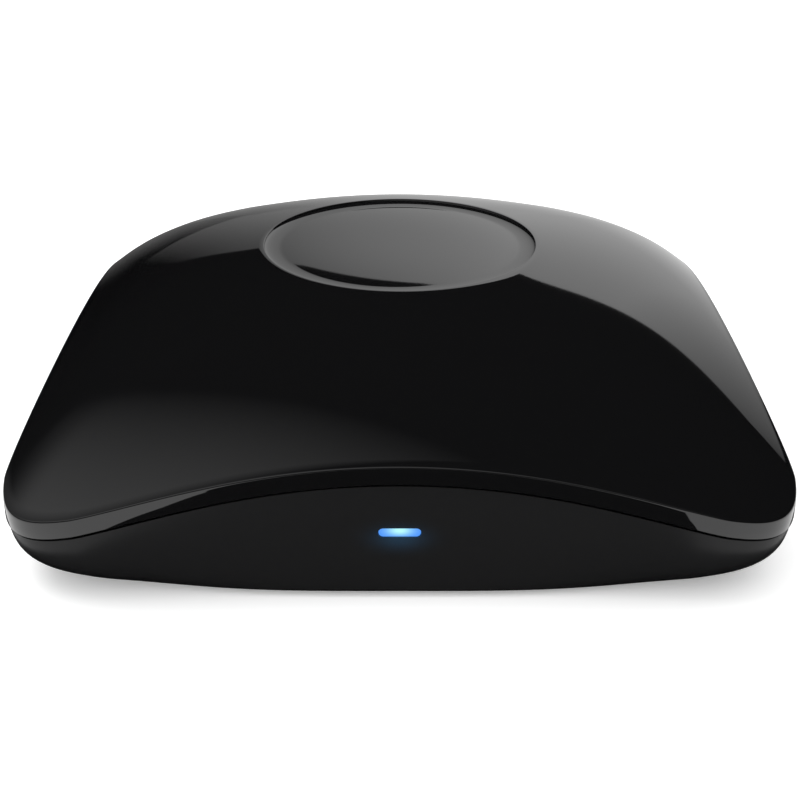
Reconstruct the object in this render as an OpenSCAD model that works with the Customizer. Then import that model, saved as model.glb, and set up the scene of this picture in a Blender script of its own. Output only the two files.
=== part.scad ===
// Smart infrared blaster hub: a glossy draped cover over a bowl-shaped base, with its board inside.
// The front, with the status light, faces -Y. The power inlet and the reset button face +Y.

/* [Outline] */
// Width and depth of the square that the rounded outline is drawn in
outline_w = 121.2; // [118:0.1:125]
// Power of the rounded outline, where a higher one gives tighter corners
outline_power = 9.5; // [7:0.5:12]
// How far the middle of each side is drawn in
waist = 2.9; // [2:0.1:3.5]
// Distance from the middle of a side at which the drawing-in has faded out
waist_span = 47; // [43:1:51]

/* [Heights] */
// Height from the table to the edge of the dish
total_h = 36; // [34:0.5:38]
// Upper edge of the rim at the middle of a side
edge_mid_z = 22.2; // [21:0.1:23]
// Upper edge of the rim at a corner
edge_corner_z = 13.4; // [12.5:0.1:14.5]

/* [Cover] */
// Upright thickness of the cover
cover_wall = 2.2; // [1.8:0.1:2.6]
// Height of the upright band round the cover
rim_band = 2.8; // [2.2:0.1:3.2]
// Thickness of the cover's lip inside the band
rim_lip = 1.8; // [1.4:0.1:2]
// Softening of the edge between the cover and its band
edge_soft = 0.3; // [0.2:0.05:0.5]
// Radius of the dish in the top
dish_r = 24; // [20:0.5:27]
// Radius of the dish's floor
dish_floor_r = 21.6; // [17:0.2:22]
// Depth of the dish
dish_d = 1.2; // [0.6:0.1:1.6]

/* [Base] */
// Width and depth of the base where it meets its underside
base_w = 114.2; // [108:0.2:114.4]
// Power of the base's outline at the underside
base_power = 2.65; // [2.3:0.05:3.2]
// Rounding at the foot of the base's wall
base_round = 1.2; // [0.6:0.1:2]
// Thickness of the base's wall
base_wall = 2; // [1.6:0.1:2.4]
// Thickness of the base's floor
floor_t = 2; // [1.8:0.1:2.6]
// Dark gap between the cover's band and the base
shadow_gap = 0.4; // [0.3:0.05:0.6]
// How far the base stands back under the band
base_inset = 0.4; // [0.2:0.05:0.6]
// Height of the tongue that locates the cover
tongue_h = 1.4; // [1:0.1:2]
// Thickness of the tongue
tongue_t = 1.2; // [1:0.1:1.6]

/* [Feet and fasteners] */
// Diameter of a rubber foot
foot_d = 11; // [9:0.5:12]
// Thickness of a rubber foot
foot_t = 1.6; // [1.4:0.1:1.8]
// How far a foot stands out of the base
foot_proud = 0.6; // [0.4:0.1:0.8]
// Diameter of the posts that take the case screws
post_d = 7.6; // [7:0.2:8.4]
// Diameter of the bosses under the cover
boss_d = 5.6; // [5.2:0.1:6]
// Height at which a post meets a boss
post_top_z = 14; // [13:0.2:15]
// Diameter of a case screw's shank
case_screw_d = 2.8; // [2.4:0.1:3]
// Length of a case screw's shank
case_screw_l = 16; // [13:0.5:18]
// Diameter of a case screw's head
case_head_d = 5; // [4.6:0.1:5.4]
// Diameter of a board screw's shank
board_screw_d = 2; // [1.6:0.1:2.4]
// Length of a board screw's shank
board_screw_l = 5; // [4:0.5:6]
// Diameter of a board screw's head
board_head_d = 4; // [3.6:0.1:4.6]

/* [Board] */
// Height of the board's underside
board_z = 8.6; // [8:0.1:9.2]
// Thickness of the board
board_t = 1.6; // [1.2:0.1:2]
// Gap between the board's edge and the base's inner wall
board_edge_gap = 5.4; // [4.8:0.1:6]

/* [Emitters] */
// Diameter of an infrared emitter
emitter_d = 5; // [4:0.5:5.5]
// Height of the emitters' centre line
emitter_z = 20; // [18:0.5:21]
// Radius of the ring on which the emitters stand
emitter_ring_r = 29; // [27:0.5:31]

/* [Status light] */
// Width of the light's window
light_w = 6.2; // [5:0.1:7]
// Height of the light's window
light_h = 1.4; // [1.2:0.1:1.8]
// Height of the light's centre line
light_z = 11.2; // [11.1:0.1:11.6]

/* [Power inlet and button] */
// Width of the pocket that the plug enters
pocket_w = 11.6; // [11:0.1:12.4]
// Height of the pocket that the plug enters
pocket_h = 7.4; // [7:0.1:8]
// Sideways place of the reset button
button_x = 17; // [15:0.5:20]
// Diameter of the reset button
button_d = 4.2; // [3.6:0.1:4.6]
// Stroke of the reset button
button_travel = 0.4; // [0.25:0.05:0.5]

/* [Hidden] */
$fn = 48;
tiny = 0.01;
over = 1;
fit_gap = 0.3;
snug_gap = 0.1;
thread_gap = 0.05;
around_count = 80;
corner_crowding_share = 0.45;
cover_rows = 11;
ceiling_rows = 8;
dish_steps = 4;
wall_steps = 9;
inner_steps = 6;
straight_fall_share = 0.5;
fall_power = 2.8;
edge_blend_power = 5;

// Base wall
inner_round = 1.6;
floor_z = foot_proud + floor_t;
floor_mid_z = foot_proud + floor_t / 2;
wall_in_y = outline_w / 2 - waist - rim_lip - fit_gap - tongue_t;
wall_out_y = outline_w / 2 - waist - base_inset;
wall_mid_y = (wall_in_y + wall_out_y) / 2;
quarter_turn = 90;

corner_along = along_side(quarter_turn / 2);

// The wall's inner and outer face at the middle of a side, as distances from the centre at a height
mid_section = base_section(quarter_turn);
inner_table = [for (j = [1:inner_steps + 1]) [mid_section[j][1], mid_section[j][0]]];
outer_start = inner_steps + 4;
outer_table = [for (j = [wall_steps:-1:0])
    [mid_section[outer_start + j][1], mid_section[outer_start + j][0]]];
function wall_in_at(z) = lookup(z, inner_table);
function wall_out_at(z) = lookup(z, outer_table);

// Board
board_half = wall_in_at(board_z) - board_edge_gap;
board_corner_r = 8;
board_top = board_z + board_t;
board_post_gap = 0.5;
standoff_d = 6;
standoff_side_inset = 5;
standoff_end_inset = 29;
standoff_x = board_half - standoff_side_inset;
standoff_y = board_half - standoff_end_inset;
pilot_spare = 0.6;

// Case posts and screws
post_inset = 13;
post_at = board_half - post_inset;
case_head_h = 1.8;
case_head_seat_z = foot_t + case_head_h + fit_gap;
cross_w = 0.7;
cross_l = 2.8;
cross_d = 0.9;
board_head_h = 1.4;
thread_end_gap = 1;

// Power inlet
inlet_w = 7.5;
inlet_h = 2.7;
inlet_l = 5.5;
inlet_sheet = 0.3;
inlet_overhang = 1;
inlet_corner_r = 0.9;
inlet_z = board_top + inlet_h / 2;
inlet_mouth_y = board_half + inlet_overhang;
tongue_plate_w = 4.6;
tongue_plate_h = 0.7;
tongue_plate_back = 0.6;
tongue_plate_root = 1.6;
tunnel_wall = 1.2;
pocket_corner_r = 1.5;

// Reset switch and button
switch_w = 6.2;
switch_l = 3.8;
switch_h = 4;
switch_back = 0.8;
switch_face_y = board_half - switch_back;
plunger_d = 3;
plunger_out = 1.4;
plunger_in = 1.3;
button_z = board_top + switch_h / 2;
button_flange_d = 6.4;
button_flange_t = 1.2;
button_rod_d = 2.6;
button_dome = 0.4;
button_proud = 0.5;
guide_d = 7.6;
guide_l = 1;

// Light
light_recess = 0.15;
light_flange = 1.4;
light_flange_t = 1.2;
status_led_w = 3;
status_led_h = 1.4;
status_led_l = 1.2;

// Emitters
emitter_count = 6;
emitter_body_l = 5.2;
emitter_rim_d = 5.8;
emitter_rim_t = 1;
lead_d = 0.5;
lead_pitch = 2.54;
lead_back = 1.5;
top_emitter_z = emitter_z - lead_pitch;

// Places on the board, as shares of its half width
wifi_side_share = -0.6;
inductor_place_share = [0.13, 0.7];
regulator_place_share = [-0.17, 0.72];
chip_place_share = [0, -0.19];
crystal_place_share = [0.19, -0.03];
receiver_place_share = [-0.33, -0.84];

// Parts on the board
wifi_w_share = 0.327;
wifi_l_share = 0.49;
wifi_w = wifi_w_share * board_half;
wifi_l = wifi_l_share * board_half;
wifi_t = 0.8;
wifi_post_gap = 2;
wifi_y = post_at - post_d / 2 - wifi_post_gap - wifi_l / 2;
can_side_gap = 1.5;
can_end_room = 9;
can_w = wifi_w - 2 * can_side_gap;
can_l = wifi_l - can_end_room;
can_h = 2.2;
can_corner_r = 1.2;
can_edge_gap = 1.2;
antenna_w = 7;
antenna_l = 2;
antenna_h = 1.2;
antenna_edge_gap = 2;
capacitor_d = 8;
capacitor_h = 10;
capacitor_groove = 0.4;
capacitor_groove_z = 8.2;
capacitor_post_x = 8;
capacitor_post_y = 10.5;
inductor_w = 7;
inductor_h = 3.4;
inductor_corner_r = 1.4;
inductor_well_d = 4.4;
inductor_well = 0.5;
regulator_w = 6.5;
regulator_l = 3.5;
regulator_h = 1.6;
regulator_leg_w = 0.7;
regulator_leg_l = 1.7;
regulator_leg_t = 0.3;
regulator_tab_w = 3;
regulator_pitch = 2.3;
chip_w = 8;
chip_h = 1.4;
chip_pin_l = 1;
chip_pin_w = 0.3;
chip_pin_t = 0.2;
chip_pin_pitch = 0.8;
chip_pin_count = 8;
chip_mark_d = 1;
chip_mark = 0.1;
crystal_l = 11;
crystal_w = 4;
crystal_h = 3.4;
transistor_ring_share = 0.367;
transistor_ring_r = transistor_ring_share * board_half;
transistor_w = 2.9;
transistor_l = 1.3;
transistor_h = 1;
transistor_leg_w = 0.4;
transistor_leg_l = 0.6;
transistor_leg_t = 0.2;
transistor_leg_pitch = 0.95;
resistor_ring_share = 0.429;
resistor_ring_r = resistor_ring_share * board_half;
resistor_w = 1.6;
resistor_l = 0.8;
resistor_h = 0.5;
resistor_cap_w = 0.3;
receiver_w = 5.4;
receiver_l = 3;
receiver_h = 6.6;
receiver_lens_r = 1.9;
receiver_leg_pitch = 1.27;
receiver_lift = 1;

FEET = [for (i = [1:4]) str("rubber_foot_", i)];
EMITTERS = [for (i = [1:emitter_count + 1]) str("ir_emitter_", i)];

// Turns the even steps round the hub so that they crowd together at the corners
function step_angle(i) =
    let (even = 360 * i / around_count)
    even + corner_crowding_share * sin(4 * even) * 180 / PI / 4;

angles = [for (i = [0:around_count - 1]) step_angle(i)];

// Distance from the centre to a square with rounded corners and bowed sides
function squarish_r(half, power, th) =
    half / pow(pow(abs(cos(th)), power) + pow(abs(sin(th)), power), 1 / power);

// The rim's outline, drawn in towards the middle of each side
function outline_r(th) =
    let (
        r = squarish_r(outline_w / 2, outline_power, th),
        along = min(abs(r * cos(th)), abs(r * sin(th))),
        t = min(1, along / waist_span)
    )
    r - r * waist / (outline_w / 2) * (1 - t * t);

// The smaller of the two distances from the side's middle, with its kink at the corner blended
function along_side(th) =
    let (
        r = outline_r(th),
        x = abs(r * cos(th)) + tiny,
        y = abs(r * sin(th)) + tiny
    )
    pow(pow(x, -edge_blend_power) + pow(y, -edge_blend_power), -1 / edge_blend_power);

// The rim's upper edge arches up as a parabola between two corners
function edge_z(th) = edge_mid_z - (edge_mid_z - edge_corner_z) * pow(along_side(th) / corner_along, 2);

// How much of its fall the cover has made at a share of the way from the dish to the rim
function fall(share) = straight_fall_share * share + (1 - straight_fall_share) * pow(share, fall_power);

function cover_z(th, r) =
    r <= dish_r ? total_h
    : total_h - (total_h - edge_z(th)) * fall((r - dish_r) / (outline_r(th) - dish_r));

function ceiling_z(th, r) = min(cover_z(th, r) - cover_wall, total_h - dish_d - cover_wall);

// One radial section of the cover as radius and height, from the dish's middle round the rim to the ceiling
function cover_section(th) =
    let (
        rim_r = outline_r(th),
        slope_r = rim_r - edge_soft,
        lip_r = rim_r - rim_lip,
        edge = edge_z(th),
        under = edge - rim_band
    )
    concat(
        [[dish_floor_r / 2, total_h - dish_d]],
        [for (j = [0:dish_steps])
            let (a = quarter_turn * j / dish_steps)
            [
                dish_floor_r + (dish_r - dish_floor_r) * sin(a),
                total_h - dish_d * cos(a)
            ]],
        [for (j = [1:cover_rows])
            let (r = dish_r + (slope_r - dish_r) * j / cover_rows)
            [r, cover_z(th, r)]],
        [[rim_r, edge - edge_soft], [rim_r, under], [lip_r, under]],
        [for (j = [ceiling_rows:-1:1])
            let (r = lip_r * j / ceiling_rows)
            [r, ceiling_z(th, r)]]
    );

// A point of a rounded wall: a quarter ellipse with a constant rounding added, by the slope of its normal
function wall_point(centre_r, top_z, wide, high, rounding, a) =
    let (reach = sqrt(pow(wide * cos(a), 2) + pow(high * sin(a), 2)))
    [
        centre_r + wide * wide * cos(a) / reach + rounding * cos(a),
        top_z - high * high * sin(a) / reach - rounding * sin(a)
    ];

// One radial section of the base, from the middle of its floor over the tongue to the middle underneath
function base_section(th) =
    let (
        rim_r = outline_r(th),
        top_z = edge_z(th) - rim_band - shadow_gap,
        out_r = rim_r - base_inset,
        foot_r = min(squarish_r(base_w / 2, base_power, th), out_r - tiny),
        wide = out_r - foot_r,
        high = top_z - foot_proud - base_round,
        tongue_out_r = rim_r - rim_lip - fit_gap,
        in_r = tongue_out_r - tongue_t,
        in_top_z = top_z + tongue_h,
        in_foot_r = min(foot_r - base_wall, in_r - tiny),
        in_wide = in_r - in_foot_r,
        in_high = in_top_z - floor_z - inner_round
    )
    concat(
        [[(in_foot_r - inner_round) / 2, floor_z]],
        [for (j = [inner_steps:-1:0])
            wall_point(
                in_foot_r - inner_round,
                in_top_z,
                in_wide,
                in_high,
                inner_round,
                quarter_turn * j / inner_steps
            )],
        [[tongue_out_r, in_top_z], [tongue_out_r, top_z]],
        [for (j = [0:wall_steps])
            wall_point(foot_r - base_round, top_z, wide, high, base_round, quarter_turn * j / wall_steps)],
        [[(foot_r - base_round) / 2, foot_proud]]
    );

// The light and the button follow the wall's lean
light_face_y = wall_out_at(light_z) - light_recess;
light_flange_y = wall_in_at(light_z - light_h / 2 - light_flange) - snug_gap;
button_lean = wall_out_y - wall_out_at(button_z);
button_rim_y = outline_w / 2 - waist * (1 - pow(button_x / waist_span, 2)) - base_inset;
button_tip_y = button_rim_y - button_lean + button_proud;
guide_in_y = wall_in_at(button_z - guide_d / 2) - guide_l;
flange_out_y = guide_in_y - fit_gap;

// Joins radial sections into one closed solid, with a fan at each end
module swept_round(sections) {
    rows = len(sections[0]);
    points = [for (j = [0:rows - 1], i = [0:around_count - 1])
        let (p = sections[i][j])
        [p[0] * cos(angles[i]), p[0] * sin(angles[i]), p[1]]];
    first = rows * around_count;
    sides = [for (j = [0:rows - 2], i = [0:around_count - 1])
        let (
            k = (i + 1) % around_count,
            a = j * around_count + i,
            b = j * around_count + k,
            c = b + around_count,
            d = a + around_count
        )
        each [[a, b, c], [a, c, d]]];
    start_fan = [for (i = [0:around_count - 1])
        [first, (i + 1) % around_count, i]];
    last_row = (rows - 1) * around_count;
    end_fan = [for (i = [0:around_count - 1])
        [last_row + i, last_row + (i + 1) % around_count, first + 1]];
    polyhedron(
        concat(points, [[0, 0, sections[0][0][1]], [0, 0, sections[0][rows - 1][1]]]),
        concat(sides, start_fan, end_fan)
    );
}

module rounded_square(w, d, r) {
    square([w - 2 * r, d], center = true);
    square([w, d - 2 * r], center = true);
    for (x = [-1, 1], y = [-1, 1])
        translate([x * (w / 2 - r), y * (d / 2 - r)])
            circle(r);
}

module slot_shape(w, h) {
    square([w - h, h], center = true);
    for (x = [-1, 1])
        translate([x * (w - h) / 2, 0])
            circle(h / 2);
}

module four_corners(x, y) {
    for (sx = [-1, 1], sy = [-1, 1])
        translate([sx * x, sy * y, 0])
            children();
}

// Extrudes a shape drawn in X and Z along Y, from y_low to y_high
module along_y(y_low, y_high) {
    translate([0, y_high, 0])
        rotate([90, 0, 0])
            linear_extrude(y_high - y_low)
                children();
}

module on_board(place_share) {
    translate([place_share[0] * board_half, place_share[1] * board_half, board_top])
        children();
}

module on_wifi_place() {
    translate([wifi_side_share * board_half, wifi_y, board_top])
        children();
}

module block(w, l, h) {
    translate([-w / 2, -l / 2, 0])
        cube([w, l, h]);
}

post_r = post_at * sqrt(2);
boss_top_z = cover_z(quarter_turn / 2, post_r + boss_d / 2) - snug_gap;
case_screw_top = case_head_seat_z + case_screw_l;

module top_cover() {
    color("#0b0b0d")
        difference() {
            union() {
                swept_round([for (th = angles) cover_section(th)]);
                four_corners(post_at, post_at)
                    translate([0, 0, post_top_z])
                        cylinder(d = boss_d, h = boss_top_z - post_top_z);
            }
            four_corners(post_at, post_at)
                translate([0, 0, post_top_z - over])
                    cylinder(
                        d = case_screw_d + 2 * thread_gap,
                        h = case_screw_top - post_top_z + over + thread_end_gap
                    );
        }
}

module base_solids() {
    swept_round([for (th = angles) base_section(th)]);
    four_corners(post_at, post_at)
        translate([0, 0, floor_mid_z])
            cylinder(d = post_d, h = post_top_z - floor_mid_z);
    four_corners(standoff_x, standoff_y)
        translate([0, 0, floor_mid_z])
            cylinder(d = standoff_d, h = board_z - floor_mid_z);
    along_y(board_half + fit_gap, wall_mid_y)
        translate([0, inlet_z])
            rounded_square(
                pocket_w + 2 * tunnel_wall,
                pocket_h + 2 * tunnel_wall,
                pocket_corner_r + tunnel_wall
            );
    along_y(guide_in_y, wall_mid_y - button_lean)
        translate([button_x, button_z])
            circle(d = guide_d);
}

module base_shell() {
    color("#121214")
        difference() {
            base_solids();
            four_corners(post_at, post_at) {
                translate([0, 0, foot_proud - over])
                    cylinder(d = foot_d + 2 * snug_gap, h = foot_t - foot_proud + over);
                translate([0, 0, foot_proud])
                    cylinder(d = case_head_d + 2 * fit_gap, h = case_head_seat_z - foot_proud);
                translate([0, 0, foot_proud])
                    cylinder(d = case_screw_d + 2 * fit_gap, h = post_top_z - foot_proud + over);
            }
            four_corners(standoff_x, standoff_y)
                translate([0, 0, board_top - board_screw_l - pilot_spare])
                    cylinder(d = board_screw_d + 2 * thread_gap, h = board_screw_l + over);
            along_y(-wall_out_y - over, -light_flange_y + over)
                translate([0, light_z])
                    slot_shape(light_w + 2 * snug_gap, light_h + 2 * snug_gap);
            along_y(board_half, wall_out_y + over)
                translate([0, inlet_z])
                    rounded_square(pocket_w, pocket_h, pocket_corner_r);
            along_y(board_half, button_tip_y + over)
                translate([button_x, button_z])
                    circle(d = button_d + 2 * fit_gap);
        }
}

module light_pipe() {
    color("#9fe8ff")
        translate([0, 0, light_z])
            mirror([0, 1, 0]) {
                along_y(board_half + fit_gap, light_face_y)
                    slot_shape(light_w, light_h);
                along_y(light_flange_y - light_flange_t, light_flange_y)
                    slot_shape(light_w + 2 * light_flange, light_h + 2 * light_flange);
            }
}

module rubber_foot(i) {
    color("#26262a")
        translate([(i % 2 == 0 ? 1 : -1) * post_at, (i > 2 ? 1 : -1) * post_at, 0])
            rotate_extrude()
                polygon([
                    [0, 0],
                    [foot_d / 2 - foot_proud / 2, 0],
                    [foot_d / 2, foot_proud / 2],
                    [foot_d / 2, foot_t],
                    [0, foot_t]
                ]);
}

// A pan-head screw with a cross recess, its head's seat at the origin and its shank along +Z
module screw(shank_d, shank_l, head_d, head_h) {
    difference() {
        union() {
            cylinder(d = shank_d, h = shank_l);
            rotate_extrude()
                polygon([
                    [0, 0],
                    [head_d / 2, 0],
                    [head_d / 2, -head_h / 2],
                    [head_d / 2 - head_h / 2, -head_h],
                    [0, -head_h]
                ]);
        }
        for (turn = [0, 90])
            rotate([0, 0, turn])
                translate([0, 0, -head_h - over])
                    block(cross_l, cross_w, over + cross_d);
    }
}

module case_screws() {
    color("#a8abb0")
        four_corners(post_at, post_at)
            translate([0, 0, case_head_seat_z])
                screw(case_screw_d, case_screw_l, case_head_d, case_head_h);
}

module board_screws() {
    color("#b8bac0")
        four_corners(standoff_x, standoff_y)
            translate([0, 0, board_top])
                mirror([0, 0, 1])
                    screw(board_screw_d, board_screw_l, board_head_d, board_head_h);
}

module main_board() {
    color("#1f5a38")
        translate([0, 0, board_z])
            linear_extrude(board_t)
                difference() {
                    rounded_square(2 * board_half, 2 * board_half, board_corner_r);
                    for (x = [-1, 1], y = [-1, 1]) {
                        translate([x * post_at, y * post_at])
                            circle(d = post_d + 2 * board_post_gap);
                        translate([x * standoff_x, y * standoff_y])
                            circle(d = board_screw_d + 2 * fit_gap);
                    }
                }
}

module status_led() {
    color("#e8f4ff")
        translate([0, -board_half + status_led_l / 2, board_top])
            block(status_led_w, status_led_l, status_led_h);
}

// A round lensed emitter along +Z, standing on its rim
module emitter_body() {
    cylinder(d = emitter_rim_d, h = emitter_rim_t);
    cylinder(d = emitter_d, h = emitter_rim_t + emitter_body_l);
    translate([0, 0, emitter_rim_t + emitter_body_l])
        sphere(d = emitter_d);
}

module ir_emitter(i) {
    color("#4a4458")
        if (i <= emitter_count)
            rotate([0, 0, 360 * (i - 1) / emitter_count])
                side_emitter();
        else
            top_emitter();
}

module side_emitter() {
    translate([emitter_ring_r, 0, emitter_z])
        rotate([0, 90, 0])
            emitter_body();
    for (side = [-1, 1])
        translate([emitter_ring_r - lead_back, side * lead_pitch / 2, 0]) {
            translate([0, 0, board_top])
                cylinder(d = lead_d, h = emitter_z - board_top + lead_d / 2);
            translate([0, 0, emitter_z])
                rotate([0, 90, 0])
                    cylinder(d = lead_d, h = lead_back + emitter_rim_t / 2);
        }
}

module top_emitter() {
    translate([0, 0, top_emitter_z])
        emitter_body();
    for (side = [-1, 1])
        translate([side * lead_pitch / 2, 0, board_top])
            cylinder(d = lead_d, h = top_emitter_z - board_top + emitter_rim_t / 2);
}

module ir_receiver() {
    color("#2b2430")
        on_board(receiver_place_share) {
            translate([0, 0, receiver_lift])
                block(receiver_w, receiver_l, receiver_h);
            translate([0, -receiver_l / 2, receiver_lift + receiver_h - receiver_lens_r - snug_gap])
                sphere(r = receiver_lens_r);
            for (x = [-1, 0, 1])
                translate([x * receiver_leg_pitch, 0, 0])
                    block(lead_d, lead_d, receiver_lift + lead_d);
        }
}

module wifi_board() {
    color("#174a6b")
        on_wifi_place()
            block(wifi_w, wifi_l, wifi_t);
}

module wifi_shield_can() {
    color("#c3c6cb")
        on_wifi_place()
            translate([0, (can_l - wifi_l) / 2 + can_edge_gap, wifi_t])
                linear_extrude(can_h)
                    rounded_square(can_w, can_l, can_corner_r);
}

module wifi_antenna() {
    color("#e9e4d8")
        on_wifi_place()
            translate([0, wifi_l / 2 - antenna_edge_gap - antenna_l / 2, wifi_t])
                block(antenna_w, antenna_l, antenna_h);
}

module power_inlet_shell() {
    color("#c9ccd1")
        difference() {
            along_y(inlet_mouth_y - inlet_l, inlet_mouth_y)
                translate([0, inlet_z])
                    rounded_square(inlet_w, inlet_h, inlet_corner_r);
            along_y(inlet_mouth_y - inlet_l + inlet_sheet, inlet_mouth_y + over)
                translate([0, inlet_z])
                    rounded_square(
                        inlet_w - 2 * inlet_sheet,
                        inlet_h - 2 * inlet_sheet,
                        inlet_corner_r - inlet_sheet
                    );
        }
}

module power_inlet_tongue() {
    color("#16161a")
        translate([0, 0, inlet_z]) {
            along_y(inlet_mouth_y - inlet_l + inlet_sheet, inlet_mouth_y - tongue_plate_back)
                square([tongue_plate_w, tongue_plate_h], center = true);
            along_y(inlet_mouth_y - inlet_l + inlet_sheet, inlet_mouth_y - inlet_l + tongue_plate_root)
                square(
                    [inlet_w - 2 * inlet_corner_r, inlet_h - 2 * inlet_sheet - 2 * snug_gap],
                    center = true
                );
        }
}

module reset_switch_body() {
    color("#c9c9c4")
        difference() {
            translate([button_x, switch_face_y - switch_l / 2, board_top])
                block(switch_w, switch_l, switch_h);
            along_y(switch_face_y - plunger_in - button_travel - fit_gap, switch_face_y + over)
                translate([button_x, button_z])
                    circle(d = plunger_d + 2 * snug_gap);
        }
}

module reset_switch_plunger() {
    color("#1a1a1c")
        along_y(switch_face_y - plunger_in, switch_face_y + plunger_out)
            translate([button_x, button_z])
                circle(d = plunger_d);
}

module reset_button() {
    color("#1b1b1e")
        translate([button_x, 0, button_z])
            rotate([-90, 0, 0])
                rotate_extrude()
                    polygon([
                        [0, switch_face_y + plunger_out],
                        [button_rod_d / 2, switch_face_y + plunger_out],
                        [button_rod_d / 2, flange_out_y - button_flange_t],
                        [button_flange_d / 2, flange_out_y - button_flange_t],
                        [button_flange_d / 2, flange_out_y],
                        [button_d / 2, flange_out_y],
                        [button_d / 2, button_tip_y - button_dome],
                        [button_d / 2 - button_dome, button_tip_y],
                        [0, button_tip_y]
                    ]);
}

module control_chip() {
    color("#1c1c20")
        on_board(chip_place_share) {
            difference() {
                block(chip_w, chip_w, chip_h);
                translate([-chip_w / 2 + chip_mark_d, chip_w / 2 - chip_mark_d, chip_h - chip_mark])
                    cylinder(d = chip_mark_d, h = over);
            }
            for (turn = [0:90:270], k = [0:chip_pin_count - 1])
                rotate([0, 0, turn])
                    translate([
                        chip_w / 2 + chip_pin_l / 2 - tiny,
                        (k - (chip_pin_count - 1) / 2) * chip_pin_pitch,
                        0
                    ])
                        block(chip_pin_l, chip_pin_w, chip_pin_t);
        }
}

module clock_crystal() {
    color("#c5c8cc")
        on_board(crystal_place_share)
            linear_extrude(crystal_h)
                slot_shape(crystal_l, crystal_w);
}

module filter_capacitor() {
    color("#23262e")
        translate([post_at - capacitor_post_x, post_at - capacitor_post_y, board_top])
            rotate_extrude()
                polygon([
                    [0, 0],
                    [capacitor_d / 2, 0],
                    [capacitor_d / 2, capacitor_groove_z - capacitor_groove],
                    [capacitor_d / 2 - capacitor_groove, capacitor_groove_z],
                    [capacitor_d / 2, capacitor_groove_z + capacitor_groove],
                    [capacitor_d / 2, capacitor_h - capacitor_groove],
                    [capacitor_d / 2 - capacitor_groove, capacitor_h],
                    [0, capacitor_h]
                ]);
}

module power_inductor() {
    color("#3a3c40")
        on_board(inductor_place_share)
            difference() {
                linear_extrude(inductor_h)
                    rounded_square(inductor_w, inductor_w, inductor_corner_r);
                translate([0, 0, inductor_h - inductor_well])
                    cylinder(d = inductor_well_d, h = over);
            }
}

module voltage_regulator() {
    color("#202024")
        on_board(regulator_place_share) {
            block(regulator_w, regulator_l, regulator_h);
            translate([0, regulator_l / 2 + regulator_leg_l / 2 - tiny, 0])
                block(regulator_tab_w, regulator_leg_l, regulator_leg_t);
            for (x = [-1, 0, 1])
                translate([x * regulator_pitch, -regulator_l / 2 - regulator_leg_l / 2 + tiny, 0])
                    block(regulator_leg_w, regulator_leg_l, regulator_leg_t);
        }
}

module driver_transistors() {
    color("#1d1d21")
        for (i = [0:emitter_count - 1])
            rotate([0, 0, 360 * (i + 1 / 2) / emitter_count])
                translate([transistor_ring_r, 0, board_top]) {
                    block(transistor_l, transistor_w, transistor_h);
                    translate([transistor_l / 2 + transistor_leg_l / 2 - tiny, 0, 0])
                        block(transistor_leg_l, transistor_leg_w, transistor_leg_t);
                    for (side = [-1, 1])
                        translate([
                            -transistor_l / 2 - transistor_leg_l / 2 + tiny,
                            side * transistor_leg_pitch,
                            0
                        ])
                            block(transistor_leg_l, transistor_leg_w, transistor_leg_t);
                }
}

module emitter_resistors() {
    color("#17181b")
        for (i = [0:emitter_count - 1])
            rotate([0, 0, 360 * i / emitter_count])
                translate([resistor_ring_r, 0, board_top]) {
                    block(resistor_l, resistor_w, resistor_h);
                    for (side = [-1, 1])
                        translate([0, side * (resistor_w - resistor_cap_w) / 2, 0])
                            block(resistor_l + tiny, resistor_cap_w, resistor_h + tiny);
                }
}

top_cover();
base_shell();
light_pipe();
for (i = [1:4]) rubber_foot(i);
case_screws();
main_board();
board_screws();
status_led();
for (i = [1:emitter_count + 1]) ir_emitter(i);
ir_receiver();
wifi_board();
wifi_shield_can();
wifi_antenna();
power_inlet_shell();
power_inlet_tongue();
reset_switch_body();
reset_switch_plunger();
reset_button();
control_chip();
clock_crystal();
filter_capacitor();
power_inductor();
voltage_regulator();
driver_transistors();
emitter_resistors();
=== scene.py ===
"""Glossy infrared hub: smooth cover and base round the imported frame, their finishes, and a small studio."""

import bmesh
import bpy
import numpy as np
from bpy.props import FloatProperty, FloatVectorProperty, PointerProperty
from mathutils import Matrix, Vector


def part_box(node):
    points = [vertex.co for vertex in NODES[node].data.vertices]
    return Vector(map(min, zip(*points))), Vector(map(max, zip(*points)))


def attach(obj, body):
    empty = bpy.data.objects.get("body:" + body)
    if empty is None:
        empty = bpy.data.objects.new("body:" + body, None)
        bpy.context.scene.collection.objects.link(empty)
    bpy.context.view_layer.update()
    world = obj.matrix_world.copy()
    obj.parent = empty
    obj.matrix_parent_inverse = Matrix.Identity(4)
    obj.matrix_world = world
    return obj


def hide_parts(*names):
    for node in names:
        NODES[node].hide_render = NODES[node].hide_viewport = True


bl_info = {
    "name": "Infrared Hub",
    "version": (1, 0, 0),
    "blender": (4, 5, 0),
    "location": "3D View > Sidebar > Hub",
    "description": "Builds the skins, finishes and studio of a glossy infrared hub round its packed frame",
    "category": "Add Mesh",
}

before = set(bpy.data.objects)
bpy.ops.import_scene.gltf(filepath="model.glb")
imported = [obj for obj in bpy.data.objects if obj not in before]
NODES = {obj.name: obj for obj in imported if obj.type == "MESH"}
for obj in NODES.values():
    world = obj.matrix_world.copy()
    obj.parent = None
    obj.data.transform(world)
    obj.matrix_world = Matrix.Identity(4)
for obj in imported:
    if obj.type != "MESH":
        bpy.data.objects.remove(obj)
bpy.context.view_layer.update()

# A millimetre and a hair's breadth in metres, steps round the hub, and exponents and angles of its forms
MM = 0.001
TINY = 1e-5
AROUND = 320
CORNER_CROWDING = 0.45
SHARP_ANGLE = np.radians(32)
BLEND = 5
DOME_POWER = 2.8
STEEP = np.radians(80)

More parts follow.
